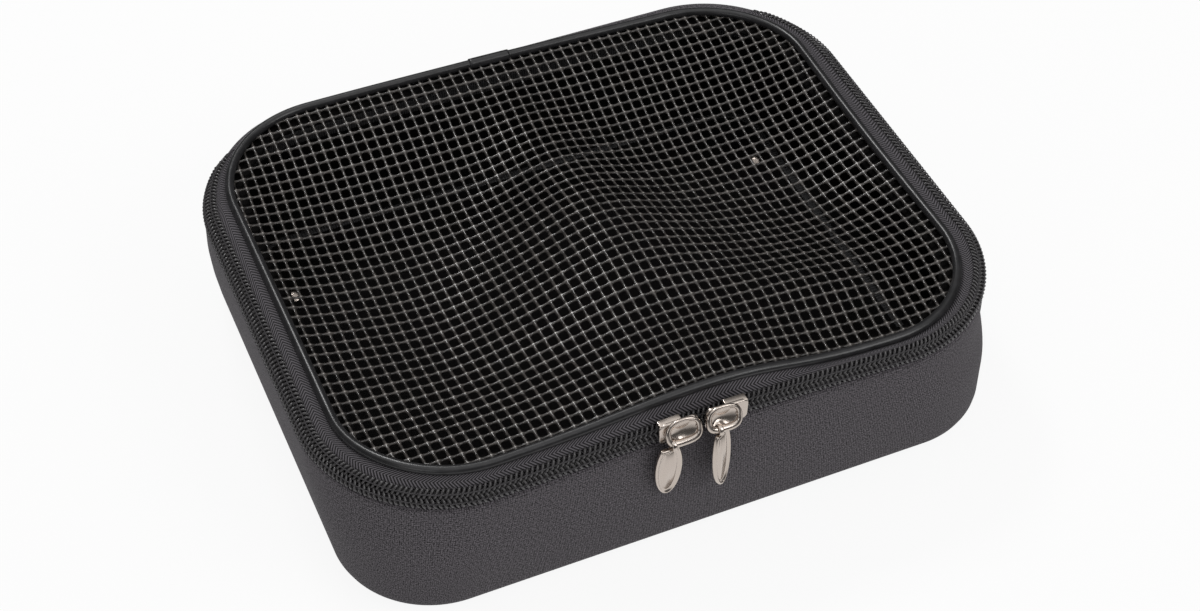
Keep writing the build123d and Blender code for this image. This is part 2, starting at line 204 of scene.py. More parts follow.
def on_loop(loop, u):
    """Points and outward normals of a rounded rectangle. u counts its nine runs from the
    middle of the front, counterclockwise: half the front, then corner and side in turn."""
    width, depth, corner, middle_y = loop
    u = np.mod(u, 9.0)
    runs = np.arange(10)
    side_x = np.interp(u, runs, [0, 1, 1, 1, 1, -1, -1, -1, -1, 0])
    side_y = np.interp(u, runs, [-1, -1, -1, 1, 1, 1, 1, -1, -1, -1])
    turn = np.radians(np.interp(u, runs, [-90, -90, 0, 0, 90, 90, 180, 180, 270, 270]))
    nx, ny = np.cos(turn), np.sin(turn)
    x = side_x * (width / 2 - corner) + nx * corner
    y = middle_y + side_y * (depth / 2 - corner) + ny * corner
    return x, y, nx, ny


def run_lengths(loop):
    """The distance along a rounded rectangle at the end of each of its nine runs."""
    width, depth, corner, _ = loop
    half, side, arc = width / 2 - corner, depth - 2 * corner, np.pi / 2 * corner
    return np.cumsum([0, half, arc, side, arc, 2 * half, arc, side, arc, half])


def along(loop, distance):
    """u at a distance along the loop, which may be negative, to the left of the front."""
    lengths = run_lengths(loop)
    turns = np.floor(distance / lengths[-1])
    return np.interp(distance - turns * lengths[-1], lengths, np.arange(10)) + 9 * turns


def smooth(low, high, value):
    """0 below low, 1 above high, and 3t^2 - 2t^3 between, with t the share of the way."""
    t = np.clip((value - low) / (high - low), 0, 1)
    return t * t * (3 - 2 * t)


def ripple(x, y, wave, seed):
    """Slow uneven waves: the mean of seven sines, each with its own direction and length."""
    draw = np.random.default_rng(seed)
    total = 0
    for _ in range(7):
        angle, phase, stretch = draw.uniform(0, 2 * np.pi, 2).tolist() + [draw.uniform(0.7, 1.5)]
        way = (np.cos(angle) * x + np.sin(angle) * y) * 2 * np.pi / (wave * stretch)
        total = total + np.sin(way + phase)
    return total / 7


def front_lift(x, y):
    """How far the zipper's straight front is raised: a soft crest near its middle."""
    crest = crest_lift * np.exp(-(np.abs((x - crest_x) / crest_reach) ** 2.2))
    return crest * smooth(-60, -97, y)


def seam_height(x, y, nx):
    """The wall's top seam: it rises by the square of the normal's x to the sides, and with
    most of the front's crest."""
    return wall_top + wall_top_side_rise * nx**2 + seam_lift_share * front_lift(x, y)


def points(x, y, z):
    """Three arrays as one array of points."""
    return np.stack(np.broadcast_arrays(x, y, z), -1)


def beside(line, out, z):
    """Points moved outward from a line that on_loop gives, at a height."""
    x, y, nx, ny = line
    return points(x + out * nx, y + out * ny, z)


def evenly(total, count):
    """Even distances from 0 to a total, one for each row of a grid."""
    return np.linspace(0, total, count)[:, None]


def skin(name, grid, material, run=0, rise=0, ring=True, tube=False, flip=False):
    """A mesh through a grid of points, in rows across the piece and columns along it. ring
    joins the last column to the first, and tube the last row. run and rise are distances
    along and across, and become the UV map, in metres."""
    rows, columns = grid.shape[:2]
    row_step, column_step = np.array([0, 0, 1, 1]), np.array([0, 1, 1, 0])
    if flip:
        row_step, column_step = row_step[::-1], column_step[::-1]
    i = np.arange(rows if tube else rows - 1)[:, None, None] + row_step
    j = np.arange(columns if ring else columns - 1)[None, :, None] + column_step
    faces = (i % rows) * columns + j % columns
    mesh = bpy.data.meshes.new(name)
    mesh.from_pydata((grid.reshape(-1, 3) * mm).tolist(), [], faces.reshape(-1, 4).tolist())
    mesh.polygons.foreach_set("use_smooth", [True] * len(mesh.polygons))
    shape = (rows + tube, columns + ring)
    run, rise = np.broadcast_to(run, shape), np.broadcast_to(rise, shape)
    corners = np.stack([run[i, j], rise[i, j]], -1) * mm
    mesh.uv_layers.new(name="cloth").data.foreach_set("uv", corners.ravel())
    mesh.materials.append(material)
    made = bpy.data.objects.new(name, mesh)
    scene.collection.objects.link(made)
    return made


def thicken(piece, thickness):
    """Gives a sheet its thickness, inward from its face."""
    wall = piece.modifiers.new("thickness", "SOLIDIFY")
    wall.thickness = thickness * mm
    wall.offset = -1.0


def start_material(name, sockets):
    """A material with values set on its shader's own sockets, and its node tree."""
    material = bpy.data.materials.new(name)
    material.use_nodes = True
    for socket, value in sockets.items():
        material.node_tree.nodes["Principled BSDF"].inputs[socket].default_value = value
    return material, material.node_tree


def follow(tree, pattern, colours=(), bump=0.0, depth=0.0002):
    """Makes a surface follow a pattern: its colour goes through the pairs of a place on the
    pattern and a colour there, and the bump raises it up to a depth in metres."""
    sockets = tree.nodes["Principled BSDF"].inputs
    if colours:
        ramp = add(tree, "ValToRGB", {"Fac": pattern})
        for mark, (place, code) in zip(ramp.color_ramp.elements, colours):
            mark.color, mark.position = linear(code), place
        tree.links.new(ramp.outputs[0], sockets["Base Color"])
    if bump:
        relief = add(tree, "Bump", {"Strength": bump, "Distance": depth, "Height": pattern})
        tree.links.new(relief.outputs[0], sockets["Normal"])


def wave_scale(pitch):
    """The Scale that gives a wave texture one wave in a pitch: at 1 it turns 20 radians a
    metre, so it is 2 pi / 20 over the pitch."""
    return 2 * np.pi / 20 / (pitch * mm)


def cloth_material(name, dark, light, pitch, sheen, rough, slub=0.35, bump=0.25, shine=0.5):
    """Plain-woven cloth: two sets of threads cross, and the bump and colour follow them. Fine
    noise makes some threads lighter than others."""
    sockets = {"Roughness": rough, "Sheen Weight": sheen, "Specular IOR Level": shine}
    material, tree = start_material(name, sockets)
    place = add(tree, "UVMap", uv_map="cloth").outputs[0]
    wave = {"Vector": place, "Scale": wave_scale(pitch), "Distortion": 0.6, "Detail": 1.0}
    warp = add(tree, "TexWave", wave, bands_direction="X").outputs["Fac"]
    weft = add(tree, "TexWave", wave, bands_direction="Y").outputs["Fac"]
    weave = add(tree, "Math", {0: warp, 1: weft}, operation="MULTIPLY").outputs[0]
    cells = {"Vector": place, "Scale": 1.3 / (pitch * mm), "Detail": 2.0, "Roughness": 0.7}
    speck = add(tree, "TexNoise", cells).outputs["Fac"]
    speck = add(tree, "MapRange", {0: speck, 1: 0.34, 2: 0.66}).outputs[0]
    mix = add(tree, "Mix", {0: slub, 2: weave, 3: speck}, data_type="FLOAT").outputs[0]
    follow(tree, mix, ((0.1, dark), (0.75, light)), bump, pitch * mm / 3)
    return material


# Woven polyester canvas: charcoal, matt, with paler specks where the thread crowns catch light.
# The real thread spacing is about 0.5 mm, drawn at 0.8 mm so that it shows.
canvas = cloth_material(
    "woven_polyester_canvas", "#040305", "#696469", canvas_pitch, 0.03, 0.9, slub=0.65, bump=0.4
)

rim_length = run_lengths(rim_loop)[-1]
wall_loop = inset(rim_loop, wall_setback)
u_columns = along(rim_loop, np.linspace(0, rim_length, columns + 1)[:-1])
turn = np.linspace(0, np.pi / 2, 7)[:, None]
wall_share = np.linspace(0, 1, 21)[1:, None]
rim_x, rim_y, rim_nx, rim_ny = on_loop(rim_loop, u_columns)
seam_z = seam_height(rim_x, rim_y, rim_nx)
run_high = seam_z - wall_roll
rings = on_loop(between(foot_loop, wall_loop, wall_share), u_columns)
ring_x, ring_y, _, ring_ny = rings
bow = np.sin(np.pi * wall_share)
uneven = ripple(ring_x, ring_y + 3 * wall_share * wall_height, wall_wave, 3)
dent = np.exp(-(((ring_x - waist_x) / 22) ** 2) - ((ring_y - waist_y) / 26) ** 2)
dent = waist_dent * dent * np.exp(-(((wall_share - waist_share) / 0.2) ** 2))
swell = wall_bulge * bow * (0.65 + 0.35 * np.abs(ring_ny)) + wall_ripple * uneven * bow - dent
wall_rows = beside(rings, swell, foot_fillet + (run_high - foot_fillet) * wall_share)
foot_out, foot_z = foot_fillet * (np.sin(turn) - 1), foot_fillet * (1 - np.cos(turn))
foot_rows = beside(on_loop(foot_loop, u_columns), foot_out, foot_z)
roll_out, roll_z = wall_roll * (np.cos(turn[1:]) - 1), run_high + wall_roll * np.sin(turn[1:])
top_rows = beside((*wall_rows[-1, :, :2].T, rim_nx, rim_ny), roll_out, roll_z)
tuck = np.array([wall_tuck / 2, wall_tuck])[:, None]
tuck_rows = beside((*top_rows[-1, :, :2].T, rim_nx, rim_ny), -tuck, seam_z - 0.5 * tuck)
wall_grid = np.concatenate([foot_rows, wall_rows, top_rows, tuck_rows])
wall_run = np.linspace(0, rim_length, columns + 1)
steps = np.linalg.norm(np.diff(wall_grid[:, 0], axis=0), axis=1)
wall_rise = np.concatenate([[0], np.cumsum(steps)])[:, None]
wall_fabric = skin("wall_fabric", wall_grid, canvas, wall_run, wall_rise)
thicken(wall_fabric, fabric_thickness)
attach(wall_fabric, "case_base")
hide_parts("side_wall")

# The underside is a panel of the same canvas over a stiff board, sewn to the wall. It dips
# round the flange of each of the two rivets.
rivet_x, rivet_y = 95.0, 54.5
rivet_dip, rivet_dip_radius, rivet_dip_slope = 0.78, 4.6, 1.6
panel_inset, panel_height, panel_thickness = foot_fillet - 0.3, 0.05, 0.8


def disc(loop, rings):
    """Rings from the middle out to a rounded rectangle: each is the loop scaled down."""
    share = np.linspace(0, 1, rings)[:, None]
    x, y, _, _ = on_loop(loop, u_columns)
    return share * x, loop[3] + share * (y - loop[3])


def from_rivets(x, y):
    """The distance to the nearer of the two rivets."""
    return np.hypot(np.abs(x) - rivet_x, y - rivet_y)


def close_pole(piece):
    """Merges the points that fall together at the middle of a disc."""
    shape = bmesh.new()
    shape.from_mesh(piece.data)
    bmesh.ops.remove_doubles(shape, verts=shape.verts, dist=1e-6)
    bmesh.ops.dissolve_degenerate(shape, edges=shape.edges, dist=1e-7)
    shape.to_mesh(piece.data)
    shape.free()


def panel(name, x, y, z, material, flip=False):
    """A disc's skin, closed at its middle, with its plan as the UV map."""
    run, rise = (np.concatenate([plan, plan[:, :1]], axis=1) for plan in (x, y))
    made = skin(name, points(x, y, z), material, run, rise, flip=flip)
    close_pole(made)
    return made


panel_x, panel_y = disc(inset(foot_loop, panel_inset), 61)
flange = smooth(rivet_dip_radius, rivet_dip_radius + rivet_dip_slope, from_rivets(panel_x, panel_y))
panel_z = panel_height + rivet_dip * (1 - flange)
base_fabric = panel("base_fabric", panel_x, panel_y, panel_z, canvas)
thicken(base_fabric, panel_thickness)
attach(base_fabric, "case_base")
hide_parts("base_panel")

# The padding is one strip of soft open-cell foam, cut from a sheet and held between the
# canvas and the lining. It is not seen, and keeps the wall full.
foam_gap, foam_thickness = 1.15, 2.7
foam_low, foam_high = 4.2, 46.2
# Dull dark grey, with soft pores and no shine.
foam = cloth_material("open_cell_foam", "#2a2a2c", "#3a3a3c", 1.5, 0.0, 0.95, slub=1.0)
foam_share = np.linspace(0, 1, 9)
foam_rows = []
for depth, order in ((foam_gap, 1), (foam_gap + foam_thickness, -1)):
    for share in foam_share[::order]:
        x, y, _, _ = on_loop(inset(between(foot_loop, wall_loop, share), depth), u_columns[::2])
        foam_rows.append(points(x, y, foam_low + (foam_high - foam_low) * share))
wall_padding = skin("wall_padding", np.array(foam_rows), foam, tube=True)
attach(wall_padding, "case_base")
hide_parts("wall_foam")

# The stiffener in the floor is a sheet of black polypropylene, cut to shape and laid in. It
# stays as the CAD made it.


def finish_solid(node, material):
    """Gives a solid that stays as the CAD made it its material."""
    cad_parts[node].data.materials.clear()
    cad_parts[node].data.materials.append(material)


def grained_material(name, sockets, scale, detail, *look):
    """A smooth finish that follows a cloudy grain, with scale cells to a metre."""
    material, tree = start_material(name, sockets)
    cells = {"Vector": add(tree, "TexCoord").outputs["Object"], "Scale": scale, "Detail": detail}
    grain = add(tree, "TexNoise", cells).outputs["Fac"]
    follow(tree, grain, *look)
    return material, tree, grain


# Extruded sheet: near black, half matt, with a very fine grain.
board_sockets = {"Base Color": linear("#1b1b1d"), "Roughness": 0.5}
board, _, _ = grained_material(
    "extruded_polypropylene_board", board_sockets, 4000.0, 2.0, (), 0.1
)
finish_solid("base_board", board)

# The lining is thin black nylon, sewn in at the wall's top. It hangs in soft folds down the
# wall and lies loose on the floor, where the net lets it be seen.
lining_inset, lining_corner, lining_fold, lining_thickness = 5.0, 2.6, 0.7, 0.4
floor_height = 4.9
lining_floor = floor_height + 0.15
lining_loose = 0.35
# Nearly black and without shine, so that it stays dark under the net.
lining = cloth_material(
    "thin_nylon_lining", "#040303", "#0f0d0d", 0.6, 0.0, 0.85, bump=0.15, shine=0.12
)

low_loop = inset(foot_loop, lining_inset)
lining_share = np.linspace(0, 1, 19)[:, None]
hung = on_loop(between(low_loop, inset(wall_loop, lining_inset), lining_share), u_columns)
x, y = hung[:2]
fold = lining_fold * (1 + ripple(x + 0.4 * y, y, 26, 5) * 2) * np.sin(np.pi * lining_share)
bend = turn[:-1]
corner_out, corner_z = lining_corner * (np.sin(bend) - 1), lining_corner * (1 - np.cos(bend))
corner_rows = beside(on_loop(low_loop, u_columns), corner_out, lining_floor + corner_z)
lining_low = lining_floor + lining_corner
lining_z = lining_low + (seam_z - 1.0 - lining_low) * lining_share
lining_grid = np.concatenate([corner_rows, beside(hung, -fold, lining_z)])
wall_lining = skin(
    "wall_lining_cloth", lining_grid, lining, wall_run, evenly(48, len(lining_grid)), flip=True
)
thicken(wall_lining, lining_thickness)
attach(wall_lining, "case_base")
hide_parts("wall_lining")

lining_x, lining_y = disc(inset(low_loop, lining_corner - 0.2), 75)
sewn = smooth(0, 12, 108 - np.abs(lining_x))
loose = lining_loose + lining_loose * ripple(lining_x, lining_y * 0.6, 46, 9) * sewn
loose = loose * smooth(2.5, 9.0, from_rivets(lining_x, lining_y))
floor_lining = panel(
    "floor_lining_cloth", lining_x, lining_y, floor_height + loose, lining, flip=True
)
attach(floor_lining, "case_base")
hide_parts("floor_lining")

# Both bindings are narrow black grosgrain: one folded over the wall's top edge inside, and one
# sewn flat over the floor's seam, a light line through the net.
binding_height, binding_half_thick = 6.0, 0.5
floor_seam_loop = (208.0, 169.8, 14.0, 0.0)
floor_seam_strip, floor_seam_half_thick = 3.0, 0.55
grosgrain_rib = 0.9

# Polyester grosgrain: black, half matt, with fine ribs across that catch light one by one.
grosgrain, tree = start_material("polyester_grosgrain", {"Roughness": 0.7})
place = add(tree, "UVMap", uv_map="cloth").outputs[0]
ribs = {"Vector": place, "Scale": wave_scale(grosgrain_rib), "Distortion": 0.4}
ribs = add(tree, "TexWave", ribs).outputs["Fac"]
follow(tree, ribs, ((0.0, "#19191a"), (1.0, "#3d3c3d")), 0.4)


def rounded(value, power):
    """A sine or cosine made squarer: its size to a power, with its sign kept."""
    return np.sign(value) * np.abs(value) ** power


def flat_ring(half_width, half_thick, power=0.7):
    """A flattened oval section at 16 even turns: the half widths along its two ways times a
    cosine and a sine made squarer."""
    turn = np.linspace(0, 2 * np.pi, 17)[:-1]
    wide = rounded(np.cos(turn), 0.5) * half_width
    return wide[:, None], (rounded(np.sin(turn), power) * half_thick)[:, None]


up_way, in_way = flat_ring(binding_height / 2, binding_half_thick)
trim_line = on_loop(inset(wall_loop, lining_inset + binding_half_thick), u_columns)
trim = beside(trim_line, -in_way, seam_z - 0.4 - binding_height / 2 + up_way)
across, up_way = flat_ring(floor_seam_strip / 2, floor_seam_half_thick)
strip_line = on_loop(inset(floor_seam_loop, floor_seam_strip / 2), u_columns)
strip = beside(strip_line, across, floor_height + 0.45 + up_way)
for node, rows, width in (
    ("wall_binding", trim, binding_height),
    ("floor_binding", strip, floor_seam_strip),
):
    ribbon = skin(node + "_ribbon", rows, grosgrain, wall_run, evenly(2 * width, 17), tube=True)
    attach(ribbon, "case_base")
    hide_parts(node)

# Two domed rivets of nickel-plated brass go through the floor, each set over a flanged post.
# They stay as the CAD made them.
nickel_rough = 0.22
# Plated metal: warm pale grey, mirror-like, with a faint uneven roughness from handling.
nickel_sockets = {"Base Color": linear("#c6bbb2"), "Metallic": 1.0}
nickel, tree, smear = grained_material("nickel_plated_zinc", nickel_sockets, 300.0, 3.0, (), 0.03)
rub = add(tree, "MapRange", {0: smear, 3: nickel_rough * 0.7, 4: nickel_rough * 1.5})
tree.links.new(rub.outputs[0], tree.nodes["Principled BSDF"].inputs["Roughness"])
for node in ("rivet_caps", "rivet_posts"):
    finish_solid(node, nickel)

# The zipper chain leans in from its lower edge, a little at the front and until it is nearly
# flat at the sides. It ends near the back corners. Its lower tape is sewn in under the roll.
low_edge_front, low_edge_side_rise = 49.7, 1.7
high_edge_front, high_edge_side_drop = 55.6, 0.8
chain_top_loop = (246.0 - 2 * 5.1, 199.0 - 2.5 - 1.6, 46.0, 0.45)
tape_thickness, tape_hem = 0.5, 1.5
tape_pitch, tape_fold, tape_slant = 1.35, 2.3, 1.1
zip_end_y = 83.5
end_turn = np.arcsin((zip_end_y - (rim_loop[1] / 2 - rim_loop[2])) / rim_loop[2])
zip_reach = run_lengths(rim_loop)[3] + end_turn * rim_loop[2]


def chain_at(distance, share):
    """A point of the chain's outer face: distance is along the rim from the middle of the
    front, and share goes from its lower edge to its upper one."""
    u = along(rim_loop, distance)
    x, y, nx, _ = on_loop(rim_loop, u)
    top_x, top_y, _, _ = on_loop(chain_top_loop, u)
    lift = front_lift(x, y)
    low = points(x, y, low_edge_front + low_edge_side_rise * nx**2 + lift)
    high = points(top_x, top_y, high_edge_front - high_edge_side_drop * nx**2 + lift)
    return low + (high - low) * share


def unit(vectors):
    """Vectors divided by their lengths."""
    return vectors / np.linalg.norm(vectors, axis=-1, keepdims=True)


def chain_ways(distance):
    """Three unit vectors at a place on the chain: along it, up across it and out of it."""
    forward = unit(chain_at(distance + 0.5, 0.5) - chain_at(distance - 0.5, 0.5))
    upward = chain_at(distance, 1) - chain_at(distance, 0)
    upward = unit(upward - (upward * forward).sum(-1, keepdims=True) * forward)
    return forward, upward, np.cross(forward, upward)


# Woven zipper tape: dark grey, with fine ribs that run slantwise and turn back at a line along
# the tape, so that they make a row of arrow heads. The ribs are the sine of the run along the
# tape, less the distance from that line times the slant.
tape, tree = start_material("woven_zipper_tape", {"Roughness": 0.8})
place = add(tree, "SeparateXYZ", {0: add(tree, "UVMap", uv_map="cloth").outputs[0]})
ribs = place.outputs[1]
for operation, value in (
    ("SUBTRACT", tape_fold * mm),
    ("ABSOLUTE", 0.0),
    ("MULTIPLY", -tape_slant),
    ("ADD", place.outputs[0]),
    ("MULTIPLY", 2 * np.pi / (tape_pitch * mm)),
    ("SINE", 0.0),
):
    ribs = add(tree, "Math", {0: ribs, 1: value}, operation=operation).outputs[0]
ribs = add(tree, "MapRange", {0: ribs, 1: -1.0, 2: 1.0}).outputs[0]
follow(tree, ribs, ((0.2, "#0f0d10"), (1.0, "#656166")), 0.6, 0.0003)

tape_s = np.linspace(-zip_reach - tape_hem, zip_reach + tape_hem, 541)
tape_out = chain_ways(tape_s)[2]
tape_u = along(rim_loop, tape_s)
tape_seat = on_loop(wall_loop, tape_u)
tape_seam = seam_height(*tape_seat[:3])


def tape_line(share, behind):
    """A line along the tape at a share of the chain's height, behind its outer face."""
    return chain_at(tape_s, share) - behind * tape_out


lower_rows = [tape_line(*at) for at in ((0.48, 2.5), (0.2, 2.5), (0.02, 1.9), (-0.1, 1.4))]
for inward, up in ((1.5, 0.3), (2.0, -1.6)):
    lower_rows.append(beside(tape_seat, -inward, tape_seam + up))
lower_rise = np.array([0, 2, 3.3, 4.2, 6, 8.0])[:, None]
lower_tape = skin(
    "lower_tape_weave", np.array(lower_rows), tape, tape_s, lower_rise, ring=False, flip=True
)
thicken(lower_tape, tape_thickness)
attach(lower_tape, "case_base")
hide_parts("lower_tape")

# Each half of the zipper is one nylon monofilament wound into a flat coil and sewn to its
# tape. The two are wound opposite ways, so their turns lie like arrow heads.
coil_pitch, coil_wire = 1.8, 0.46
coil_half_width, coil_half_thick, coil_lean = 1.5, 0.8, 0.35
steps_a_turn = 12
thread_radius, thread_rise = 0.24, 0.18
# Nylon monofilament: smooth black plastic wire, so each turn carries a small sharp highlight.
nylon_colours = ((0.0, "#242324"), (1.0, "#5c5a5b"))
nylon, _, _ = grained_material(
    "black_nylon_monofilament", {"Roughness": 0.22}, 1500.0, 2.0, nylon_colours
)
# Spun polyester thread: black and matt, a dull line between the bright turns.
thread = cloth_material("spun_polyester_thread", "#161516", "#4a474a", 0.5, 0.0, 0.6, slub=0.6)


def tube_round(path, radius, reference, sides):
    """Rings of points round a path: each ring is square to the path, from two vectors across
    it, the first of them square to the reference too."""
    ahead = unit(np.gradient(path, axis=0))
    first = unit(np.cross(ahead, reference))
    second = np.cross(ahead, first)
    angle = np.linspace(0, 2 * np.pi, sides + 1)[:-1, None, None]
    radius = np.asarray(radius)[..., None]
    return path + radius * (np.cos(angle) * first + np.sin(angle) * second)


def closed_wire(name, path, radius, reference, sides, material, distance, rise):
    """A tube along a path whose two ends are drawn in to a point."""
    radii = np.full(len(path), radius)
    radii[[0, -1]] = 0.0
    rings = tube_round(path, radii, reference, sides)
    rises = np.arange(sides + 1)[:, None] * rise
    made = skin(name, rings, material, distance, rises, ring=False, tube=True, flip=True)
    close_pole(made)
    return made


def wind_coil(name, share, way):
    """A flat helix on the chain: across by the cosine of the turn, and out by its sine."""
    turns = int(2 * zip_reach / coil_pitch)
    angle = np.linspace(0, 2 * np.pi * turns, turns * steps_a_turn + 1)
    distance = (angle / (2 * np.pi) - turns / 2) * coil_pitch
    forward, upward, outward = chain_ways(distance)
    across = rounded(np.cos(angle), 0.8) * coil_half_width
    depth = coil_half_thick * (np.sin(angle) - 1) - coil_wire
    lean = -coil_lean * np.cos(angle)
    path = chain_at(distance, share) + way * across[:, None] * upward
    path = path + depth[:, None] * outward + lean[:, None] * forward
    return closed_wire(name, path, coil_wire, forward, 6, nylon, distance, 0.4)


def sew_coil(name, share):
    """The thread that holds a coil down: it rises over each turn by a cosine of the run."""
    distance = np.arange(-zip_reach + 2, zip_reach - 2, coil_pitch / 5)
    _, _, outward = chain_ways(distance)
    depth = thread_rise * np.cos(2 * np.pi * distance / coil_pitch) - 0.08
    path = chain_at(distance, share) + depth[:, None] * outward
    return closed_wire(name, path, thread_radius, outward[0], 5, thread, distance, 0.3)


for coil_name, share, way, body in (
    ("lower_coil", 0.255, 1, "case_base"),
    ("upper_coil", 0.745, -1, "lid"),
):
    coil = wind_coil(coil_name + "_winding", share, way)
    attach(coil, body)
    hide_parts(coil_name)
    stitches = sew_coil(coil_name + "_stitches", share)
    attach(stitches, body)

# A scrap of the grosgrain is folded and sewn over each end of the chain, to stop the sliders
# and hide the cut tape.
tab_length, tab_half_width, tab_half_thick = 2.6, 2.9, 1.1


def join(pieces, name):
    """Several meshes as one piece."""
    with bpy.context.temp_override(
        active_object=pieces[0], selected_editable_objects=pieces, selected_objects=pieces
    ):
        bpy.ops.object.join()
    pieces[0].name = name
    return pieces[0]


tab_wide, tab_thick = flat_ring(tab_half_width, tab_half_thick, 0.6)
tab_back = 1.3
tab_taper = np.array([0, 0.9, 1, 1, 1, 1, 1, 0.9, 0])[None, :, None]
tab_ends = []
for side in (-1, 1):
    tab_s = side * (zip_reach + np.linspace(-0.6, tab_length, 9))
    forward, upward, outward = chain_ways(tab_s)
    section = tab_wide[..., None] * upward + tab_thick[..., None] * outward
    grid = chain_at(tab_s, 0.5) - tab_back * outward + tab_taper * section
    tab_ends.append(
        skin("zipper_end_tab", grid, grosgrain, tab_s, evenly(14, 17), False, True, flip=side > 0)
    )
end_tabs = join(tab_ends, "zipper_end_tabs_sewn")
close_pole(end_tabs)
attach(end_tabs, "case_base")
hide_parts("zipper_end_tabs")

# The lid's edge is a cord covered in satin black vinyl, sewn on along a hidden flange. It
# rides high at the front, where the case is full, and sags a little at the back and right.
piping_loop = (222.0, 187.0, 40.0, 1.8)
piping_radius = 1.65
piping_height = 55.0
shoulder_rise, shoulder_x = 3.4, 5
hump_rise, hump_x, hump_left, hump_right = 6.4, 10, 45.0, 31.0
upward_way = np.array([0.0, 0.0, 1.0])


def piping_shift(x, y):
    """How far the real edge leaves the neat rounded rectangle: in by a bell of y at the
    right, and forward at the right of the back."""
    bow = -1.0 * np.exp(-((y / 48) ** 2)) * smooth(40, 105, x)
    right_back = -2.6 * smooth(-10, 95, x) * smooth(30, 92, y)
    return bow, right_back + 0.8 * smooth(20, -60, x) * smooth(60, 92, y)


def piping_rise(x, y):
    """The height of the lid's edge: level, with a shoulder at the front left and a hump to
    the right of the front's middle, a bell that is steeper on its right."""
    shoulder = shoulder_rise / (1 + np.exp((x - shoulder_x) / 16))
    reach = np.where(x < hump_x, hump_left, hump_right)
    hump = hump_rise * np.exp(-(((x - hump_x) / reach) ** 2))
    return piping_height + (shoulder + hump) * smooth(-46, -88, y)


def piping_at(u, out=0.0, down=0.0):
    """Points of the piping's centre line, or of a line outside and under it."""
    x, y, nx, ny = on_loop(inset(piping_loop, -out), u)
    shift_x, shift_y = piping_shift(x, y)
    return points(x + shift_x, y + shift_y, piping_rise(x, y) - down)


def closed_tube(path, radius, reference, sides):
    """A tube round a closed path, from rings square to it."""
    radius = np.broadcast_to(radius, len(path))
    path, radius = (np.concatenate([part[-2:], part, part[:2]]) for part in (path, radius))
    return tube_round(path, radius, reference, sides)[:, 2:-2]


# Calendered vinyl: satin black and slightly uneven, with a long soft highlight along its top.
vinyl_colours = ((0.3, "#1c1c1d"), (1.0, "#323133"))
vinyl, _, _ = grained_material(
    "calendered_vinyl_piping", {"Roughness": 0.3}, 260.0, 4.0, vinyl_colours, 0.15, 0.0004
)

piping_length = run_lengths(piping_loop)[-1]
piping_u = along(piping_loop, np.linspace(0, piping_length, 421)[:-1])
piping_run = np.linspace(0, piping_length, len(piping_u) + 1)
piping = skin(
    "piping_vinyl", closed_tube(piping_at(piping_u), piping_radius, upward_way, 18), vinyl,
    piping_run, evenly(2 * np.pi * piping_radius, 19), tube=True, flip=True,
)
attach(piping, "lid")
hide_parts("piping_cover", "piping_cord")

# A short sleeve of the same vinyl is wrapped and glued round the piping's joint, at the middle
# of the back. Its lips are rounded by the root of a clipped sine.
sleeve_length, sleeve_wall = 17.0, 0.4
sleeve_s = np.linspace(-sleeve_length / 2, sleeve_length / 2, 23)
sleeve_line = piping_at(along(piping_loop, piping_length / 2 + sleeve_s))
lip = np.clip(np.sin(np.pi * np.arange(23) / 22) * 9, 0, 1) ** 0.5
sleeve_radius = np.where(lip < 0.05, 0.0, piping_radius + sleeve_wall * lip)
sleeve = skin(
    "sleeve_vinyl", tube_round(sleeve_line, sleeve_radius, upward_way, 24), vinyl, sleeve_s,
    evenly(12, 25), ring=False, tube=True, flip=True,
)
close_pole(sleeve)
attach(sleeve, "lid")
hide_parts("piping_sleeve")

# The zipper's upper tape is woven as the lower one. It goes from behind the coil up to the
# piping, is sewn under it, and shows its herringbone all round the lid.
seam_out, seam_down = 1.1, 0.9
lap_out, lap_down = -0.4, 1.7
upper_line = tape_line(0.98, 1.3)
seam_line = piping_at(tape_u, seam_out, seam_down)
across_share = np.linspace(0, 1, 8)[:, None, None]
arch = 0.35 * np.sin(np.pi * across_share)
shelf = upper_line + (seam_line - upper_line) * across_share + arch * upward_way
hidden = [tape_line(0.56, 2.5), tape_line(0.86, 2.2)]
upper_rows = np.concatenate([hidden, shelf, [piping_at(tape_u, lap_out, lap_down)]])
upper_rise = np.concatenate([[-3.0, -1.0], np.linspace(0, 5.6, 8), [7.2]])[:, None]
upper_tape = skin("upper_tape_weave", upper_rows, tape, tape_s, upper_rise, ring=False)
thicken(upper_tape, tape_thickness)
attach(upper_tape, "lid")
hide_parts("upper_tape")

# Along the back a strip of the canvas joins the lid to the tub and is the hinge. The strip's
# straight middle is one piece on neither body, and its ends lie round the corners, one on the
# tub and one on the lid.
fold_height, fold_reach = 52.7, 80.0
strip_thickness = 0.8
hinge_from = zip_reach + 2.7
hinge_rise = np.array([0, 1.8, 2.6, 3.4, 4.2, 5.0, 5.8, 6.6, 7.4, 8.6, 9.8, 11, 12.6])[:, None]


def hinge_rows(distance):
    """Lines along the hinge strip, from inside the wall's roll up and over to the piping. It
    leans in as it goes up, more where the normal turns to the side."""
    u = along(rim_loop, distance)
    seat, rim = on_loop(wall_loop, u), on_loop(rim_loop, u)
    seam = seam_height(*seat[:3])
    rows = [beside(seat, -1.9, seam - 1.5), beside(seat, -1.3, seam + 0.2)]
    for share in np.linspace(0, 1, 7):
        inward = 0.25 + (0.15 + 4.4 * seat[2] ** 2) * share + 0.4
        rows.append(beside(rim, -inward, seam + 0.9 + (fold_height + 1.2 - seam - 0.9) * share))
    last, edge = rows[-1], piping_at(u, 1.2, seam_down)
    for share in (0.35, 0.7, 1.0):
        arch = 0.5 * np.sin(np.pi * share) * upward_way
        rows.append(last + (edge - last) * share + arch)
    return np.array([*rows, piping_at(u, lap_out, lap_down)])


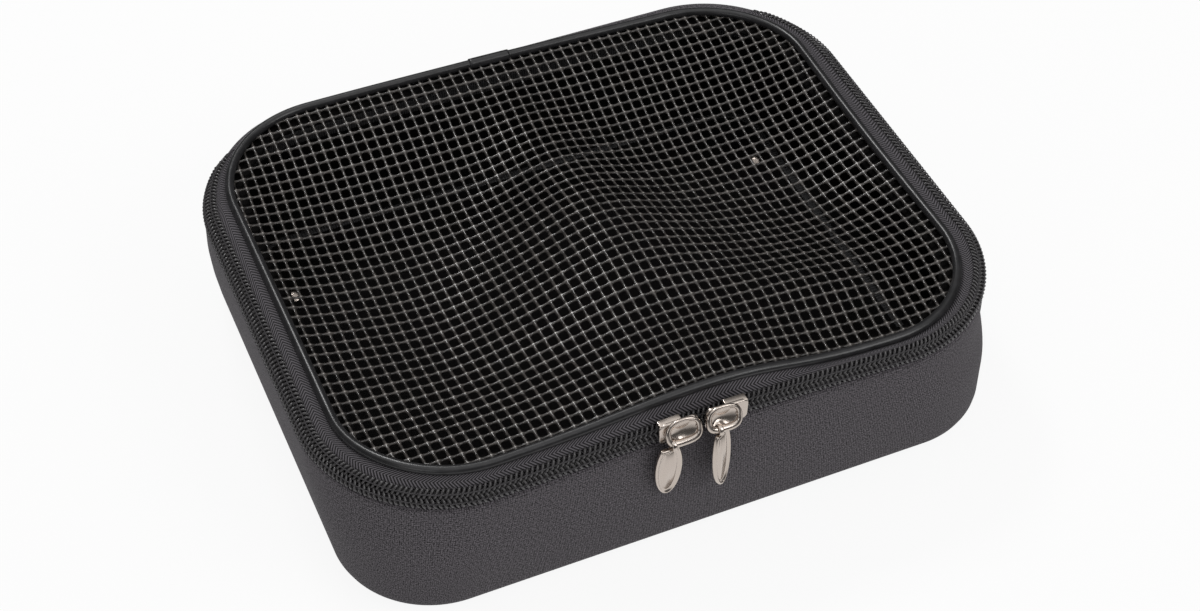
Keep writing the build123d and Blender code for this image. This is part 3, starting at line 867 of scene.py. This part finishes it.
middle_s = rim_length / 2
fold_s = np.linspace(middle_s - fold_reach, middle_s + fold_reach, 121)
hinge_fold = skin("hinge_fold", hinge_rows(fold_s), canvas, fold_s, hinge_rise, ring=False)
thicken(hinge_fold, strip_thickness)
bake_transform(hinge_fold)
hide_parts("hinge_strip_lower", "hinge_strip_upper")
for side, start, end in (
    ("left", middle_s + fold_reach, rim_length - hinge_from),
    ("right", hinge_from, middle_s - fold_reach),
):
    corner_s = np.linspace(start, end, 41)
    rows = hinge_rows(corner_s)
    for part, body, first, last in (("lower", "case_base", 0, 7), ("upper", "lid", 6, 13)):
        strip, rise = rows[first:last].copy(), hinge_rise[first:last]
        if part == "upper":
            strip[0, :, 2] += 0.25
        corner = skin(f"hinge_{part}_{side}", strip, canvas, corner_s, rise, ring=False)
        thicken(corner, strip_thickness)
        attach(corner, body)

# The lid is a net of vinyl-coated threads, welded where they cross and sewn in under the
# piping. It hangs in soft hollows, with a ridge down its middle.
net_pitch_x, net_pitch_y, net_middle_y = 3.95, 4.75, 1.8
net_columns, net_lines = 60, 42
net_edge, net_under = 1.15, 0.5
strand_half, strand_height = 0.54, 0.44
cell_corner = 0.85
# Each form of the relief: its height, its middle's X and Y, its reach in X, how much slimmer it
# grows to the back, and its reach in Y.
net_forms = (
    (-9.0, 0, 8, 400, 0.0, 75),
    (15.0, 3, -15, 31, 0.25, 60),
    (-3.5, 80, -14, 20, 0.0, 20),
    (4.0, 56, -58, 26, 0.0, 18),
    (-2.0, -68, -20, 24, 0.0, 40),
)


def net_height(x, y):
    """The net's height: level with the piping's underside at the edge, and inside it the sum
    of its forms, each a bell shape, and a slow ripple."""
    front_rise = piping_rise(x, -95.0 + 0 * y) - piping_height
    edge = piping_height - net_under + front_rise * smooth(-48, -90, y)
    inside_x = 1 - np.clip(np.abs(x) / 111, 0, 1) ** 5
    inside = inside_x * (1 - np.clip(np.abs(y - 2) / 93, 0, 1) ** 4)
    sag = 0
    for height, mid_x, mid_y, wide, slim, deep in net_forms:
        off = (x - mid_x) / (wide - slim * y)
        sag = sag + height * np.exp(-(off**2) - ((y - mid_y) / deep) ** 2)
    return edge + sag * inside + 0.35 * ripple(x, y, 34, 11) * inside


def net_place(across, along_y):
    """Where a point of the flat net, counted in cells, lies on the lid. A point past the
    piping is brought back to a line under it. The columns lean to the right at the back and
    to the left at the right of the front."""
    x = (across - net_columns / 2) * net_pitch_x
    y = (along_y - net_lines / 2) * net_pitch_y + net_middle_y
    x = x + 0.9 * ripple(x, y, 120, 21) + 3.5 * smooth(20, 90, y)
    x = x - 4.0 * smooth(-50, -95, y) * smooth(-20, 30, x)
    y = y + 0.7 * ripple(x, y, 110, 23)
    width, depth, corner, middle_y = inset(piping_loop, net_edge)
    past_x = np.abs(x) - (width / 2 - corner)
    past_y = np.abs(y - middle_y) - (depth / 2 - corner)
    far = np.hypot(np.maximum(past_x, 0), np.maximum(past_y, 0))
    outside = far + np.minimum(np.maximum(past_x, past_y), 0) - corner
    back = np.where(outside > 0, corner / np.maximum(far, 1e-6), 1.0)
    new_x = np.sign(x) * (width / 2 - corner + past_x * back)
    new_y = middle_y + np.sign(y - middle_y) * (depth / 2 - corner + past_y * back)
    x = np.where((outside > 0) & (past_x > 0), new_x, x)
    y = np.where((outside > 0) & (past_y > 0), new_y, y)
    return x, y, outside


def cell_rings():
    """One cell's rings of twelve points, counted in cells: the middle lines of the strands
    round it, its rounded hole and two rings between them, each with its height as a share of
    the strand's. The knots where strands cross stand higher."""
    half = np.array([strand_half / net_pitch_x, strand_half / net_pitch_y])
    bend = half + np.array([cell_corner / net_pitch_x, cell_corner / net_pitch_y])
    corner_cut = half + 0.3 * (bend - half)
    hole, edge = [], []
    for sx, sy in ((0, 0), (1, 0), (1, 1), (0, 1)):
        near = [(half[0], bend[1]), tuple(corner_cut), (bend[0], half[1])]
        far = [(0, bend[1]), (0, 0), (bend[0], 0)]
        if sx != sy:
            near, far = near[::-1], far[::-1]
        hole += [(abs(sx - x), abs(sy - y)) for x, y in near]
        edge += [(abs(sx - x), abs(sy - y)) for x, y in far]
    hole, edge = np.array(hole), np.array(edge)
    knot = np.tile([0, 1, 0], 4)
    flat = np.array([edge, hole, (hole + edge) / 2, edge])
    lift = [0 * knot, 0 * knot, 0.25 * knot, 0.6 * knot]
    height = (np.array([-0.8, 0.0, 0.8, 1.0])[:, None] + lift) * strand_height
    # The last array weights the knots where strands cross, for their painted highlight.
    return flat, height, knot * np.array([0, 0, 0.4, 1])[:, None]


def make_net(name, material):
    """Each cell is a ring of faces between its rounded hole and the middle lines of the four
    strands round it, so that neighbouring cells join into one skin. Where a cell has no
    neighbour, a last face closes the strand's side."""
    flat, height, knot_highlight = cell_rings()
    column, line = np.meshgrid(np.arange(net_columns), np.arange(net_lines), indexing="ij")
    _, _, outside = net_place(column + 0.5, line + 0.5)
    corner_column = column[..., None] + np.array([0, 1, 1, 0])
    _, _, corners = net_place(corner_column, line[..., None] + np.array([0, 0, 1, 1]))
    kept = (outside < 1.2) & (corners.min(-1) < -0.5)
    cell = np.stack([column[kept], line[kept]], -1)
    place = cell[:, None, None, :] + flat
    x, y, _ = net_place(place[..., 0], place[..., 1])
    shift_x, shift_y = piping_shift(x, y)
    x, y = x + shift_x, y + shift_y
    grid = points(x, y, net_height(x, y) + height)
    index = np.arange(grid[..., 0].size).reshape(grid.shape[:3])
    after = np.roll(index, -1, axis=2)
    faces = np.stack([index[:, :-1], after[:, :-1], after[:, 1:], index[:, 1:]], -1).reshape(-1, 4)
    keys, first, where = np.unique(
        np.round(grid.reshape(-1, 3), 3), axis=0, return_index=True, return_inverse=True
    )
    where = where.reshape(-1)
    rim = where[np.stack([index[:, 3], after[:, 3], after[:, 0], index[:, 0]], -1)].reshape(-1, 4)
    _, same, uses = np.unique(
        np.sort(rim[:, :2], axis=1), axis=0, return_inverse=True, return_counts=True
    )
    faces = np.concatenate([where[faces], rim[uses[same.reshape(-1)] == 1]])
    order = np.sort(faces, axis=1)
    faces = faces[~(order[:, 1:] == order[:, :-1]).any(1)][:, ::-1]
    knot_highlights = np.broadcast_to(knot_highlight, grid.shape[:3]).reshape(-1)[first]
    mesh = bpy.data.meshes.new(name)
    mesh.from_pydata((keys * mm).tolist(), [], faces.tolist())
    mesh.polygons.foreach_set("use_smooth", [True] * len(mesh.polygons))
    # This attribute carries each knot's weight for its painted highlight to the material.
    mesh.attributes.new("knot_highlight", "FLOAT", "POINT").data.foreach_set("value", knot_highlights)
    mesh.materials.append(material)
    made = bpy.data.objects.new(name, mesh)
    scene.collection.objects.link(made)
    return made


# Vinyl-coated thread: dark warm grey and glossy, with a painted highlight on each knot, a pale
# colour mixed in where the strands cross.
net_colours = ((0.3, "#232120"), (0.7, "#4f4b48"))
net_vinyl, tree, _ = grained_material(
    "vinyl_coated_net", {"Roughness": 0.2}, 420.0, 3.0, net_colours, 0.3, 0.0003
)
base_colour = tree.nodes["Principled BSDF"].inputs["Base Color"]
# A pale colour is mixed in at the knots as a painted highlight.
knot_highlight = add(tree, "Attribute", attribute_name="knot_highlight").outputs["Fac"]
knot_highlight = add(tree, "Math", {0: knot_highlight, 1: 5.0}, operation="POWER").outputs[0]
painted_knot_highlight = {0: knot_highlight, 6: base_colour.links[0].from_socket, 7: linear("#cdc7c1")}
tree.links.new(add(tree, "Mix", painted_knot_highlight, data_type="RGBA").outputs[2], base_colour)

net = make_net("lid_net", net_vinyl)
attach(net, "lid")
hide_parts("lid_mesh")

# Under the net's edge runs a black facing tape of the lining's nylon, that the net and the
# piping are sewn to.
facing_width, facing_drop, facing_thickness = 6.0, 1.8, 0.6
facing_rows = []
for out in np.linspace(0.2, -facing_width, 6):
    line = piping_at(piping_u, out)
    line[:, 2] = np.minimum(line[:, 2], net_height(line[:, 0], line[:, 1])) - facing_drop
    facing_rows.append(line)
facing = skin("facing_tape", np.array(facing_rows), lining, piping_run, evenly(6.2, 6))
thicken(facing, facing_thickness)
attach(facing, "lid")
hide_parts("rim_facing")

# Each slider is die-cast zinc, nickel plated: two plates joined by a web between the coils,
# and on the outer plate a raised oval ring with a hollow middle. Its bar carries the pull.
parting_height = 52.7
plate_length, plate_height, plate_corner, plate_lift = 15.0, 8.6, 2.0, 1.6
plate_y, plate_thickness = -101.0, 1.3
inner_front, inner_back, inner_height = -95.2, -94.0, 4.4
flange_length, flange_height, flange_depth = 8.0, 1.3, 3.2
ring_half_length, ring_half_height = 5.45, 3.95
ring_tilt = np.radians(19.0)
dish_half_length, dish_half_height, dish_depth, dish_wall = 5.35, 3.95, 1.5, 0.5
bar_y, bar_z = -103.5, -1.4
eye_radius, eye_half_width, eye_half_thick = 1.72, 0.8, 0.36
pull_half_width, pull_half_height, pull_middle, pull_top = 4.75, 12.95, -11.05, -1.3
slot_half_width, slot_half_height, slot_middle = 1.55, 0.65, -2.95


def slab_rows(width, height, corner, front_y, back_y, edge, middle=(0.0, 0.0)):
    """A plate that stands in the front's plane, its edges rounded: over an edge the outline
    is inset by 1 less the sine, and the depth goes by 1 less the cosine, of a quarter turn."""
    u = np.linspace(0, 9, 73)[:-1]
    bend = np.linspace(0, np.pi / 2, 4)
    insets = [*(edge * (1 - np.sin(bend))), *(edge * (1 - np.sin(bend[::-1])))]
    front, back = front_y + edge * (1 - np.cos(bend)), back_y - edge * (1 - np.cos(bend[::-1]))
    rows = []
    for step, depth in zip(insets, [*front, *back]):
        outline = (width - 2 * step, height - 2 * step, max(corner - step, 0.05), 0.0)
        x, z, _, _ = on_loop(outline, u)
        rows.append(points(x, depth, z))
    caps = [np.array([k, 1, k]) * rows[n] for n, k in ((0, 0.0), (0, 0.5), (-1, 0.5), (-1, 0.0))]
    return np.array([*caps[:2], *rows, *caps[2:]]) + np.array([middle[0], 0, middle[1]])


def ring_plane(across, up, out):
    """A point of the ring's leaning plane, from its bar up and out of it."""
    y = bar_y + up * np.sin(ring_tilt) - out * np.cos(ring_tilt)
    return points(across, y, bar_z + up * np.cos(ring_tilt) + out * np.sin(ring_tilt))


def slider_body(name, nose, trim):
    """The outer plate with a flange along its top, and the inner plate. The nose is the
    plate's outer end, cut back by the trim."""
    top = plate_lift + plate_height / 2
    outer_middle, flange_middle = (-nose * trim / 2, plate_lift), (nose * (3.3 - trim), top - 0.68)
    parts = [
        slab_rows(plate_length - trim, plate_height, plate_corner, plate_y,
                  plate_y + plate_thickness, 0.35, outer_middle),
        slab_rows(flange_length, flange_height, 0.4, plate_y + 0.3, plate_y + flange_depth, 0.25,
                  flange_middle),
        slab_rows(plate_length, inner_height, 1.0, inner_front, inner_back, 0.3, (0, -1.0)),
    ]
    pieces = [skin(f"{name}_{n}", rows, nickel, flip=True) for n, rows in enumerate(parts)]
    for piece in pieces:
        close_pole(piece)
    return pieces


def slider_ring(name, middle_x, eye_x):
    """An oval tube, thick at the bar below and thin above, a hollow disc that fills it but for
    a notch where the pull's eye goes through, and two feet to the plate."""
    angle = np.linspace(0, 2 * np.pi, 73)[:-1]
    power = np.where(np.sin(angle) < 0, 0.62, 0.85)
    across = ring_half_length * rounded(np.cos(angle), power)
    up = ring_half_height + ring_half_height * rounded(np.sin(angle), power)
    path = ring_plane(middle_x + across, up, 0 * angle)
    thick = 0.95 - 0.35 * np.sin(angle)
    outward = (ring_plane(np.zeros(1), np.zeros(1), np.ones(1)) - ring_plane(*np.zeros((3, 1))))[0]
    rings = closed_tube(path, thick, outward, 16)
    tube = skin(f"{name}_tube", rings, nickel, tube=True, flip=True)
    share = np.linspace(0, 1, 15)[:, None]
    hollow = -0.15 - dish_depth * (1 - share**2) ** 0.8
    dish_x = dish_half_length * share * rounded(np.cos(angle), 0.85)
    dish_up = dish_half_height * share * rounded(np.sin(angle), 0.8)
    notch = 0.42 * np.exp(-(((dish_x - eye_x) / 1.7) ** 2)) * (dish_up < 0)
    dish_up = 0.1 + dish_up * (1 - notch)
    dish_rows = ring_plane(middle_x + dish_x, ring_half_height + dish_up, hollow)
    dish = skin(f"{name}_dish", dish_rows, nickel)
    close_pole(dish)
    thicken(dish, dish_wall)
    with bpy.context.temp_override(object=dish, active_object=dish):
        bpy.ops.object.modifier_apply(modifier="thickness")
    height = bar_z + ring_half_height * np.cos(ring_tilt)
    start = bar_y + ring_half_height * np.sin(ring_tilt) - 0.2
    depth = np.array([start, start, start + 0.2, plate_y + 0.5, plate_y + 0.5])
    turn = np.linspace(0, 2 * np.pi, 17)[:-1, None, None]
    radius = np.array([0, 0.9, 1.0, 1.15, 0])[None, :, None]
    section = radius * (np.cos(turn) * [1.0, 0, 0] + np.sin(turn) * upward_way)
    feet = []
    for side in (-1, 1):
        rod = points(middle_x + side * ring_half_length * 0.96, depth, height)
        feet.append(skin(f"{name}_foot", rod + section, nickel, ring=False, tube=True))
        close_pole(feet[-1])
    return [tube, dish, *feet]


def turned(rows, degrees, first, second):
    """Points turned about the third axis, from the first of two axes towards the second."""
    cos, sin = np.cos(np.radians(degrees)), np.sin(np.radians(degrees))
    turn = np.eye(3)
    turn[first, first] = turn[second, second] = cos
    turn[first, second], turn[second, first] = sin, -sin
    return rows @ turn


def slider_pull(name, shift, twist, swing, lean):
    """A long oval plate with a raised rim and a slot at its top, and an eye round the bar.
    The plate is a ring of faces from the slot out over the rim and back behind."""
    angle = np.linspace(0, 2 * np.pi, 81)[:-1]

    def oval(step, depth):
        x = (pull_half_width - step) * np.cos(angle)
        z = pull_middle + (pull_half_height - step) * np.sin(angle)
        return points(x, -depth, np.minimum(z, pull_top - step))

    def slot(step, depth):
        x = (slot_half_width + step) * rounded(np.cos(angle), 0.6)
        z = slot_middle + (slot_half_height + step) * rounded(np.sin(angle), 0.6)
        return points(x, -depth, z)

    plate = [
        slot(0, 0.2), slot(0.12, 0.34), oval(2.0, 0.34), oval(1.85, 0.22), oval(1.65, 0.22),
        oval(1.5, 0.34), oval(1.1, 0.36), oval(0.85, 0.8), oval(0.62, 0.9), oval(0.36, 0.86),
        oval(0.1, 0.62), oval(0, 0.36), oval(0, -0.36), oval(0.1, -0.62), oval(0.34, -0.72),
        slot(0.12, -0.72), slot(0, -0.55),
    ]
    plate = turned(turned(np.array(plate), twist, 0, 1) + [shift, 0, 0], -lean, 0, 2)
    wide, thick = flat_ring(eye_half_width, eye_half_thick)
    around = np.linspace(0, 2 * np.pi, 41)[:-1]
    eye = points(wide, (eye_radius + thick) * np.cos(around), (eye_radius + thick) * np.sin(around))
    return [
        skin(f"{name}_{part}", turned(rows, -swing, 1, 2), nickel, tube=True, flip=flip)
        for part, rows, flip in (("plate", plate, True), ("eye", eye, False))
    ]


# Each row gives a slider's side, its nose's way and trim, its place along the front, its rise
# and slope there, the offsets of its ring and eye, and the pull's shift, twist, swing and lean.
for side, nose, trim, x, rise, slope, ring_x, eye_x, shift, twist, swing, lean in (
    ("left", -1, 1.4, -12.9, 2.263, 2.2306, 1.7, -4.3, -1.0, 0.0, -3.5, 2.6),
    ("right", 1, 0.0, 4.4, 2.301, -1.9789, -1.7, -1.9, 0.8, 32.0, 6.0, -1.0),
):
    at_chain = Matrix.Translation(Vector((x, 0, parting_height + rise)) * mm)
    on_slope = at_chain @ Matrix.Rotation(-np.radians(slope), 4, "Y")
    at_bar = Matrix.Translation(Vector((ring_x + eye_x, bar_y, bar_z)) * mm)
    for node, body, parts in (
        (f"{side}_slider_body", f"{side}_slider", slider_body(side, nose, trim)),
        (f"{side}_slider_bridge", f"{side}_slider", slider_ring(side, ring_x, eye_x)),
        (f"{side}_pull", f"{side}_pull", slider_pull(side, shift, twist, swing, lean)),
    ):
        piece = join(parts, node + "_cast")
        if node.endswith("pull"):
            piece.data.transform(at_bar)
        piece.data.transform(on_slope)
        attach(piece, body)
        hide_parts(node)
